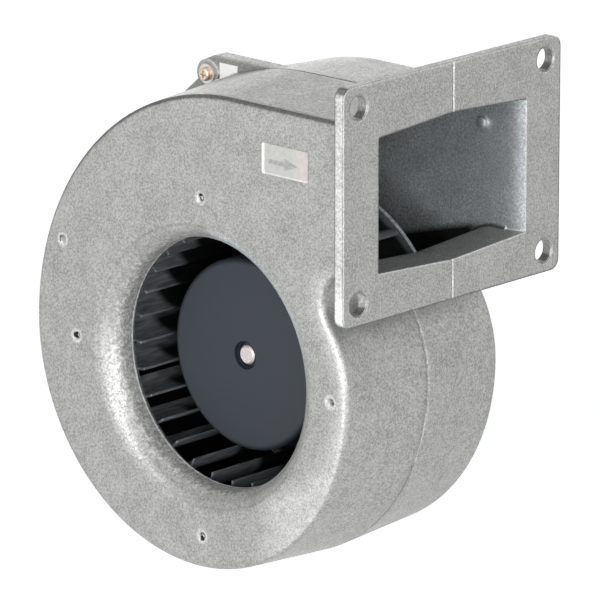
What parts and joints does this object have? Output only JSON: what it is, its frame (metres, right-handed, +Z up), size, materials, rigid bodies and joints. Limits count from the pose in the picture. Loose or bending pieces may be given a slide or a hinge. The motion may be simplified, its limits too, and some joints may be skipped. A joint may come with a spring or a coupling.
{
  "type": "dc blower fan",
  "caption": "Single-inlet radial blower: two-part cast volute casing, rectangular outlet flange, forward-curved impeller on an external-rotor motor.",
  "frame": {"origin": "middle of the outlet flange's hole pattern, on its mating face", "axes": "+X along the outgoing air, square to the flange; +Z up; the fan axis is parallel to Y and the inlet faces -Y"},
  "size_m": [0.1921, 0.128, 0.2225],
  "materials": {
    "cast_aluminium": "raw die-cast, fine mottled grain",
    "brass": "machined",
    "zinc_steel": "bright zinc plate",
    "label_film": "matt printed film",
    "rubber": "matt",
    "board_laminate": "solder resist",
    "component_plastic": "moulded epoxy",
    "lamination_steel": "varnished laminations",
    "insulator_plastic": "moulded",
    "copper": "enamelled copper wire",
    "bearing_steel": "ground",
    "coated_steel": "satin dark coating",
    "impeller_steel": "satin dark coating",
    "magnet_ferrite": "bonded ferrite"
  },
  "bodies": {
    "housing": {"front_housing": "cast_aluminium", "rear_housing": "cast_aluminium", "earth_screw": "brass", "earth_washer": "zinc_steel", "seal_label": "label_film", "direction_label": "label_film", "motor_carrier": "cast_aluminium", "carrier_screws": "zinc_steel", "bearing_cap": "zinc_steel", "cable_grommet": "rubber", "circuit_board": "board_laminate", "board_parts": "component_plastic", "board_screws": "zinc_steel", "stator_core": "lamination_steel", "coil_insulators": "insulator_plastic", "windings": "copper", "front_bearing_outer": "bearing_steel", "rear_bearing_outer": "bearing_steel", "wave_spring": "bearing_steel"},
    "rotor": {"front_bearing_inner": "bearing_steel", "rear_bearing_inner": "bearing_steel", "retaining_ring": "bearing_steel", "shaft": "bearing_steel", "rotor_hub": "coated_steel", "rotor_cup": "coated_steel", "magnet_ring": "magnet_ferrite", "impeller_back_plate": "impeller_steel", "impeller_blades": "impeller_steel", "impeller_front_ring": "impeller_steel", "impeller_rivets": "zinc_steel"},
    "front_balls": {"front_bearing_balls": "bearing_steel"},
    "rear_balls": {"rear_bearing_balls": "bearing_steel"}
  },
  "joints": [
    {"name": "rotor_spin", "type": "hinge", "parent": "housing", "child": "rotor", "pos_m": [-0.0952, 0, -0.0865], "axis": [0, 1, 0], "continuous": true},
    {"name": "front_ball_orbit", "type": "hinge", "parent": "housing", "child": "front_balls", "pos_m": [-0.0952, 0, -0.0865], "axis": [0, 1, 0], "continuous": true},
    {"name": "rear_ball_orbit", "type": "hinge", "parent": "housing", "child": "rear_balls", "pos_m": [-0.0952, 0, -0.0865], "axis": [0, 1, 0], "continuous": true}
  ],
  "couplings": [
    {"joint": "front_ball_orbit", "follows": "rotor_spin", "ratio": 0.379},
    {"joint": "rear_ball_orbit", "follows": "rotor_spin", "ratio": 0.379}
  ]
}
